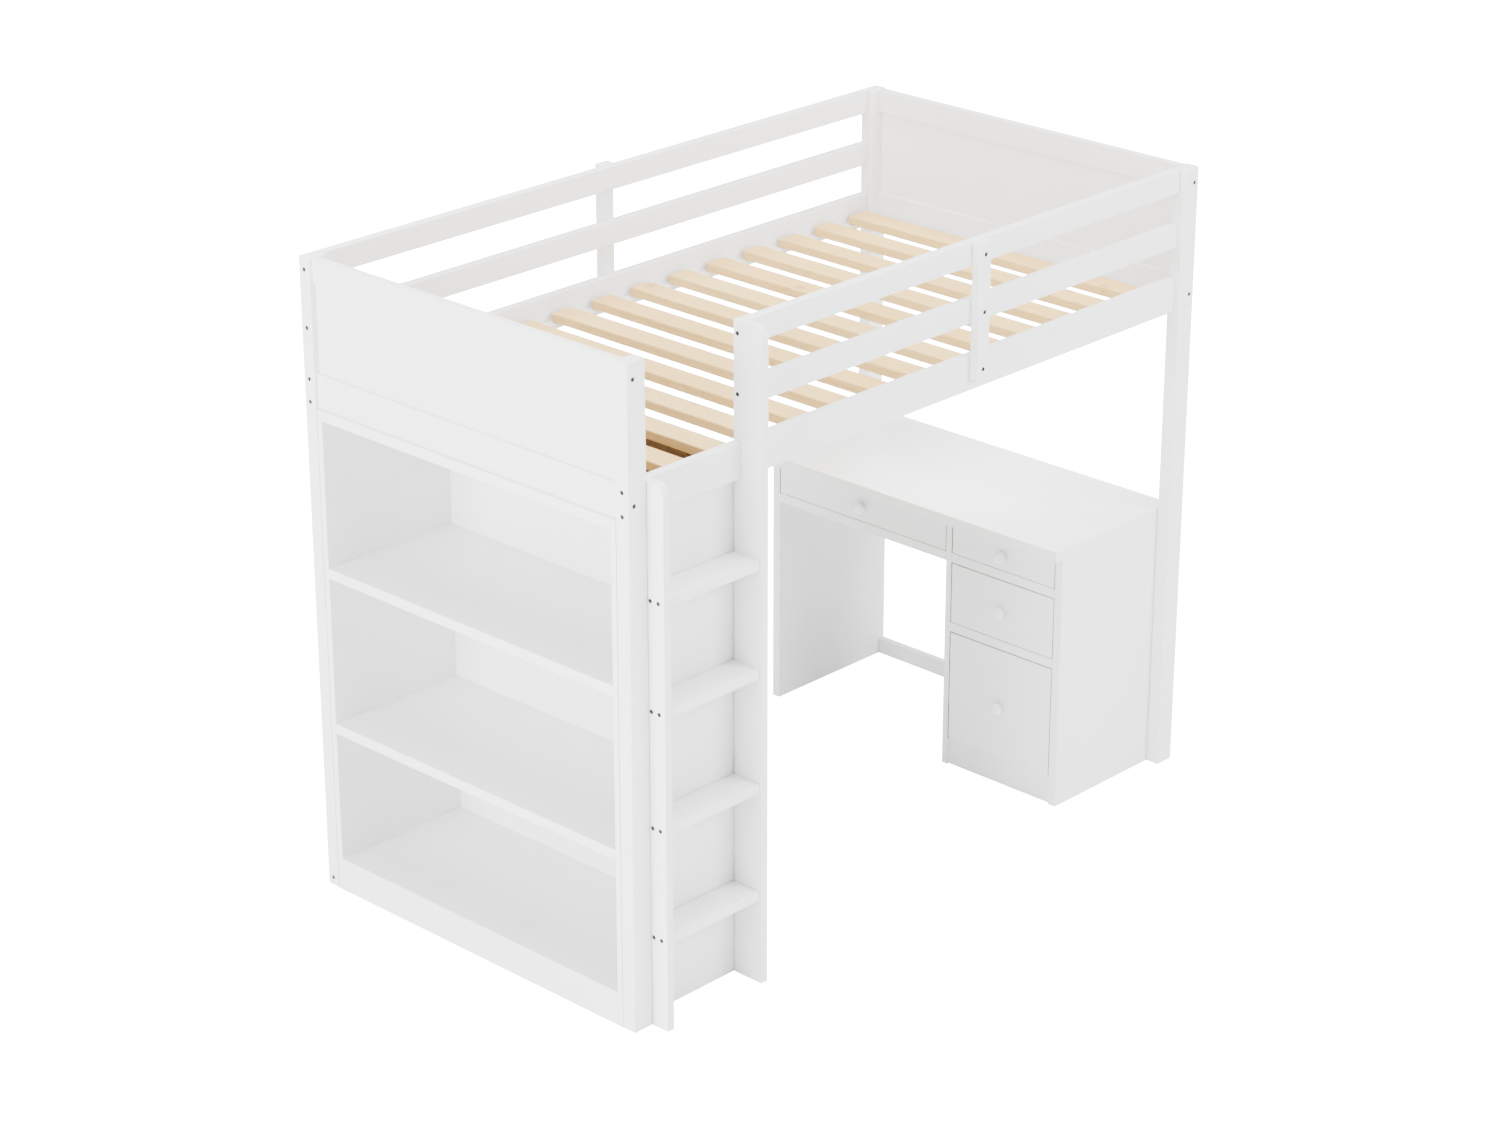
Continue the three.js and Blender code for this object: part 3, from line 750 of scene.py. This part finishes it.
def in_recess(face, floors):
    """Whether a face is the floor or the wall of a bolt recess."""
    middle = face.calc_center_median()
    for centre, outward in floors:
        away = middle - centre
        height = away.dot(outward)
        sideways = (away - outward * height).length
        if -1e-4 < height < 0.9 * RECESS_DEPTH and sideways < RECESS_RADIUS * 1.02:
            return True
    return False


# %% [markdown]
# A bolt head is a short cylinder with a rounded rim and a hexagon socket. It starts as a cone of
# equal ends; the outer face is inset, the inset ring is moved out to a hexagon, and the hexagon is
# pushed in. One head is made about the z axis, then copied to each recess by a turn and a move.

# %% One bolt head
HEAD_RADIUS = 0.0049
HEAD_HEIGHT = 0.0026
SOCKET_RADIUS = 0.0028
SOCKET_DEPTH = 0.0020
RIM_ROUND = 0.0007
HEAD_SIDES = 24


def hexagon_radius(angle, corner):
    """Distance from the centre to a hexagon's side in a direction."""
    sixth = math.pi / 3
    return corner * math.cos(sixth / 2) / math.cos((angle % sixth) - sixth / 2)


def add_bolt_head(shape, centre, outward):
    """Adds a bolt head to a bmesh, standing on the floor of a recess."""
    head = bmesh.new()
    bmesh.ops.create_cone(
        head,
        cap_ends=True,
        segments=HEAD_SIDES,
        radius1=HEAD_RADIUS,
        radius2=HEAD_RADIUS,
        depth=HEAD_HEIGHT,
    )
    bmesh.ops.translate(head, verts=head.verts, vec=(0.0, 0.0, HEAD_HEIGHT / 2))
    top = next(f for f in head.faces if f.normal.z > 0.9)
    rim = list(top.edges)
    bmesh.ops.bevel(
        head,
        geom=rim,
        offset=RIM_ROUND,
        offset_type="OFFSET",
        segments=3,
        profile=0.5,
        affect="EDGES",
        material=-1,
    )
    top = max((f for f in head.faces if f.normal.z > 0.9), key=lambda f: len(f.verts))
    ring_width = HEAD_RADIUS - RIM_ROUND - SOCKET_RADIUS
    bmesh.ops.inset_individual(head, faces=[top], thickness=ring_width)
    for vert in top.verts:
        angle = math.atan2(vert.co.y, vert.co.x)
        reach = hexagon_radius(angle, SOCKET_RADIUS)
        vert.co.x = reach * math.cos(angle)
        vert.co.y = reach * math.sin(angle)
    pushed = bmesh.ops.extrude_discrete_faces(head, faces=[top])["faces"][0]
    bmesh.ops.translate(head, verts=pushed.verts, vec=(0.0, 0.0, -SOCKET_DEPTH))
    for face in head.faces:
        face.smooth = abs(face.normal.z) < 0.9 and len(face.verts) == 4
    turn = outward.to_track_quat("Z", "Y").to_matrix().to_4x4()
    bmesh.ops.transform(head, matrix=Matrix.Translation(centre) @ turn, verts=head.verts)
    data = bpy.data.meshes.new("bolt_head_draft")
    head.to_mesh(data)
    head.free()
    shape.from_mesh(data)
    bpy.data.meshes.remove(data)


def add_bolts(name, floors):
    """All the bolts of one board, as one piece; returns how many."""
    shape = bmesh.new()
    for centre, outward in floors:
        add_bolt_head(shape, centre, outward)
    finish_piece(shape, name, [], "bed", [bolt_steel])
    return len(floors)


# %% [markdown]
# ## The frame, the ladder and the guard rails
#
# These are the solid pine pieces. Each one is rounded by 3 mm, painted with its grain along its own
# longest side, and given its bolts.

# %% Solid pine pieces
PINE_ROUND = 0.003


def longest_axis(node_name):
    """The letter of the axis that a board is longest along."""
    low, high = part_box(node_name)
    spans = [high[i] - low[i] for i in range(3)]
    return "xyz"[spans.index(max(spans))]


def pine_piece(node_name):
    """A solid pine board of the frame, rounded and painted, with its bolts."""
    shape = bare_copy(node_name)
    mark = shape.faces.layers.float.new("rounded_edge")
    floors = recess_floors(shape)
    # Faces of the bolt recesses take the second finish, the near-black painted shade.
    for face in shape.faces:
        face.material_index = 1 if in_recess(face, floors) else 0
    edges = free_edges(outer_edges(shape, PINE_SHORTEST), node_name, BOARD_WORDS)
    round_edges(shape, edges, PINE_ROUND, 3, mark)
    finish_piece(
        shape,
        f"{node_name}_board",
        [node_name],
        "bed",
        [paint_along[longest_axis(node_name)], recess_painted_shade],
    )
    return add_bolts(f"{node_name}_bolts", floors) if floors else 0


FRAME_WORDS = ("post_", "side_rail_", "guard_", "ladder_")
BOARD_WORDS = ("bookcase_", "desk", "pedestal_")
frame_boards = sorted(n for n in nodes if n.startswith(FRAME_WORDS))
bolt_count = sum(pine_piece(n) for n in frame_boards)
print(len(frame_boards), "solid boards,", bolt_count, "bolts")

# %% [markdown]
# ## The end panels
#
# Each end is a frame of two rails with a thin board between them, in one piece. The rails' edges are
# rounded less, and the thin board takes the smooth paint of pressed board.

# %% End panels
PANEL_ROUND = 0.0018
THIN_BOARD_REACH = 0.004  # how far the thin board's faces lie from the panel's middle, at most


def end_panel(node_name):
    """An end panel: pine rails and a smooth thin board between them."""
    shape = bare_copy(node_name)
    mark = shape.faces.layers.float.new("rounded_edge")
    low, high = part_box(node_name)
    middle = (low[0] + high[0]) / 2
    for face in shape.faces:
        off_middle = abs(face.calc_center_median().x - middle)
        thin_board = off_middle < THIN_BOARD_REACH and abs(face.normal.x) > 0.9
        face.material_index = 1 if thin_board else 0
    edges = free_edges(outer_edges(shape, PINE_SHORTEST), node_name)
    round_edges(shape, edges, PANEL_ROUND, 3, mark)
    finish_piece(
        shape,
        f"{node_name}_board",
        [node_name],
        "bed",
        [paint_along["y"], paint_on_board],
    )


for name in ("foot_end_panel", "head_end_panel"):
    end_panel(name)

# %% [markdown]
# ## The slats
#
# Bare pine, planed on the wide faces, with every edge eased by 3 mm so that it doesn't cut the
# mattress. The narrow sides are left as sawn, rougher and darker wood, and they are painted darker
# still as painted shade on the sides; a number on their faces tells the finish so.

# %% Slats
SLAT_ROUND = 0.003
# The rounded edges take 0.4 of the sides' sawn colour and painted shade.
SAWN_SHADE_ON_EDGE = 0.4  # the rounded edges are half planed
slat_names = sorted(n for n in nodes if n.startswith("slat_"))
for name in slat_names:
    shape = bare_copy(name)
    mark = shape.faces.layers.float.new("rounded_edge")
    sawn_shade_mark = shape.faces.layers.float.new("sawn_shaded_side")
    # Faces that stand on edge get 1: the sawn colour and the painted shade of the sides.
    for face in shape.faces:
        face[sawn_shade_mark] = 1.0 if abs(face.normal.z) < 0.5 else 0.0
    round_edges(shape, outer_edges(shape, 0.0), SLAT_ROUND, 3, mark)
    for face in shape.faces:
        if face[mark] > 0.5:
            face[sawn_shade_mark] = SAWN_SHADE_ON_EDGE if abs(face.normal.z) < 0.7 else 0.0
    finish_piece(shape, f"{name}_plank", [name], "bed", [bare_pine])
print(len(slat_names), "slats")

# %% [markdown]
# ## The bookcase and the desk
#
# Pressed board has a crisper edge than pine, because it comes off a panel saw with a thin strip of
# edging; only the desktop, which arms rest on, gets a rounder one. Where a board looks into a
# drawer's bay, its paint stops a little way in. The bay is the drawer's own box made a few
# millimetres larger: the board is sliced along the sides of that box, and the faces that look into
# it get the raw finish, whose dark brown is also painted shade for the gaps round the drawers. The
# bookcase's top gets the same dark raw finish above, behind the end panel, where only the slats lie
# over it; there it is painted shade for the dark strip between the slats.

# %% Pressed boards
BOARD_ROUND = 0.0009
TOP_ROUND = 0.002
PAINT_LAP = 0.0008
BAY_REACH = 0.0035
BAY_DEPTH = 0.017
DRAWERS = ("wide", "top", "middle", "bottom")


def bay_box(name):
    """The space that a drawer slides in, behind the painted front edge."""
    low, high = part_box(f"drawer_{name}")
    return (
        Vector((low[0] + PAINT_LAP, low[1] - BAY_REACH, low[2] - BAY_REACH)),
        Vector((high[0] + BAY_DEPTH, high[1] + BAY_REACH, high[2] + BAY_REACH)),
    )


def boxes_meet(first, second):
    """Whether two boxes share some space."""
    return all(first[0][i] < second[1][i] and second[0][i] < first[1][i] for i in range(3))


def slice_at(shape, place, axis):
    """Cuts a board's faces along the plane through a place, square to an axis."""
    normal = Vector((0.0, 0.0, 0.0))
    normal[axis] = 1.0
    everything = shape.verts[:] + shape.edges[:] + shape.faces[:]
    bmesh.ops.bisect_plane(
        shape, geom=everything, dist=CUT_DISTANCE, plane_co=place, plane_no=normal
    )


def slice_along(shape, box):
    """Cuts a board's faces along the six planes of a box."""
    for corner in box:
        for axis in range(3):
            slice_at(shape, corner, axis)


def bare_and_shade_bays(shape, node_name):
    """Gives the dark raw finish, raw board and painted shade at once, to the faces of a board that
    look into a drawer's bay.
    """
    bare = 0
    for name in DRAWERS:
        bay = bay_box(name)
        if not boxes_meet(bay, fixed_boxes[node_name]):
            continue
        slice_along(shape, bay)
        bay_middle = (bay[0] + bay[1]) / 2
        for face in shape.faces:
            centre = face.calc_center_median()
            if near_box(centre, bay, 0.0) and face.normal.dot(bay_middle - centre) > 0:
                face.material_index = 1
                bare += 1
    return bare


board_names = sorted(n for n in nodes if n.startswith(BOARD_WORDS))
bare_and_shaded_faces = 0
behind_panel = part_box("foot_end_panel")[1][0]
for name in board_names:
    shape = bare_copy(name)
    mark = shape.faces.layers.float.new("rounded_edge")
    radius = TOP_ROUND if name == "desktop" else BOARD_ROUND
    round_edges(shape, free_edges(outer_edges(shape, BOARD_SHORTEST), name), radius, 3, mark)
    bare_and_shaded_faces += bare_and_shade_bays(shape, name)
    # The top's upper face behind the end panel gets the dark raw finish, painted shade where it
    # shows between the slats.
    if name == "bookcase_top":
        slice_at(shape, (behind_panel, 0.0, 0.0), 0)
        for face in shape.faces:
            if face.normal.z > 0.9 and face.calc_center_median().x > behind_panel:
                face.material_index = 1
                bare_and_shaded_faces += 1
    finish_piece(
        shape, f"{name}_board", [name], "bed", [paint_on_board, raw_board_painted_shade]
    )
print(len(board_names), "pressed boards;", bare_and_shaded_faces, "faces left bare")

# %% [markdown]
# ## The drawers
#
# A drawer is a painted front with a plywood tray behind it. They are one solid in the engineering
# model, so the faces behind the front are picked out by how far back they lie, and only those get
# the plywood.

# %% Drawers
FRONT_THICKNESS = 0.018
FRONT_ROUND = 0.0008
TRAY_ROUND = 0.0006


def drawer_piece(name):
    """A painted drawer front with its plywood tray."""
    node_name = f"drawer_{name}"
    shape = bare_copy(node_name)
    mark = shape.faces.layers.float.new("rounded_edge")
    front_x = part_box(node_name)[0][0]
    behind = front_x + FRONT_THICKNESS - 0.0005
    for face in shape.faces:
        face.material_index = 1 if face.calc_center_median().x > behind else 0
    edges = outer_edges(shape, BOARD_SHORTEST)
    front_edges = [e for e in edges if all(v.co.x < front_x + 1e-4 for v in e.verts)]
    tray_edges = [e for e in edges if all(v.co.x > behind + 0.001 for v in e.verts)]
    round_edges(shape, front_edges, FRONT_ROUND, 3, mark)
    round_edges(shape, [e for e in tray_edges if e.is_valid], TRAY_ROUND, 2, mark)
    finish_piece(
        shape,
        f"{node_name}_box",
        [node_name],
        f"{name}_drawer",
        [paint_on_drawer, birch_ply],
    )


for name in DRAWERS:
    drawer_piece(name)

# %% [markdown]
# ## The knobs
#
# Turned on a lathe, so they are modelled as on a lathe: half of the outline is drawn as a chain of
# edges and spun about the knob's axis. The outline is a wide round foot against the drawer, a
# groove, and a full head whose face is nearly flat and rolls over at the rim. The groove is what
# draws the dark line round the head when it is seen from the side.

# %% Knobs
KNOB_STEPS = 48
# Places are shares of the knob's length; FOOT and GROOVE are shares of its radius.
FOOT = 0.886
FOOT_TOP = 0.125
GROOVE = 0.46
GROOVE_PLACE = 0.275
RIM_PLACE = 0.5
FACE_POWER = 2.0 / 2.5


def knob_outline(length, radius):
    """(distance from the drawer front, radius) along the side of a knob."""
    points = [(0.0, 0.0), (0.0, FOOT - 0.03), (0.025, FOOT)]
    points += [(FOOT_TOP - 0.03, FOOT), (FOOT_TOP, FOOT - 0.04)]
    points += [(FOOT_TOP + 0.015, GROOVE + 0.14), (FOOT_TOP + 0.06, GROOVE + 0.03)]
    points += [(GROOVE_PLACE, GROOVE)]
    for step in range(1, 7):
        turn = math.radians(15 * step)
        along = RIM_PLACE - (RIM_PLACE - GROOVE_PLACE) * math.cos(turn)
        points.append((along, GROOVE + (1.0 - GROOVE) * math.sin(turn)))
    for step in range(1, 11):
        turn = math.radians(9 * step)
        along = RIM_PLACE + (1.0 - RIM_PLACE) * math.sin(turn) ** FACE_POWER
        points.append((along, math.cos(turn) ** FACE_POWER if step < 10 else 0.0))
    return [(along * length, out * radius) for along, out in points]


def turned_knob(name):
    """A drawer knob, spun about its own axis in the place of the engineering one."""
    low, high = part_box(f"knob_{name}")
    axis_y = (low[1] + high[1]) / 2
    axis_z = (low[2] + high[2]) / 2
    shape = bmesh.new()
    chain = [
        shape.verts.new((high[0] - along, axis_y, axis_z + out))
        for along, out in knob_outline(high[0] - low[0], (high[2] - low[2]) / 2 * 0.999)
    ]
    edges = [shape.edges.new(pair) for pair in zip(chain, chain[1:])]
    bmesh.ops.spin(
        shape,
        geom=chain + edges,
        cent=(0.0, axis_y, axis_z),
        axis=(1.0, 0.0, 0.0),
        angle=2 * math.pi,
        steps=KNOB_STEPS,
        use_merge=True,
    )
    bmesh.ops.remove_doubles(shape, verts=shape.verts, dist=1e-6)
    bmesh.ops.recalc_face_normals(shape, faces=shape.faces)
    shape.faces.layers.float.new("rounded_edge")
    for face in shape.faces:
        face.smooth = True
    return finish_piece(
        shape,
        f"knob_{name}_turned",
        [f"knob_{name}"],
        f"{name}_drawer",
        [paint_on_knob],
    )


for name in DRAWERS:
    knob = turned_knob(name)
print("knobs turned; the last has", len(knob.data.polygons), "faces")

# %% [markdown]
# ## Measuring up
#
# The finished bed has to be the size of the engineering model.

# %% Sizes
def plain(box):
    """A box's two corners as plain lists of numbers."""
    return [[float(number) for number in corner] for corner in box]
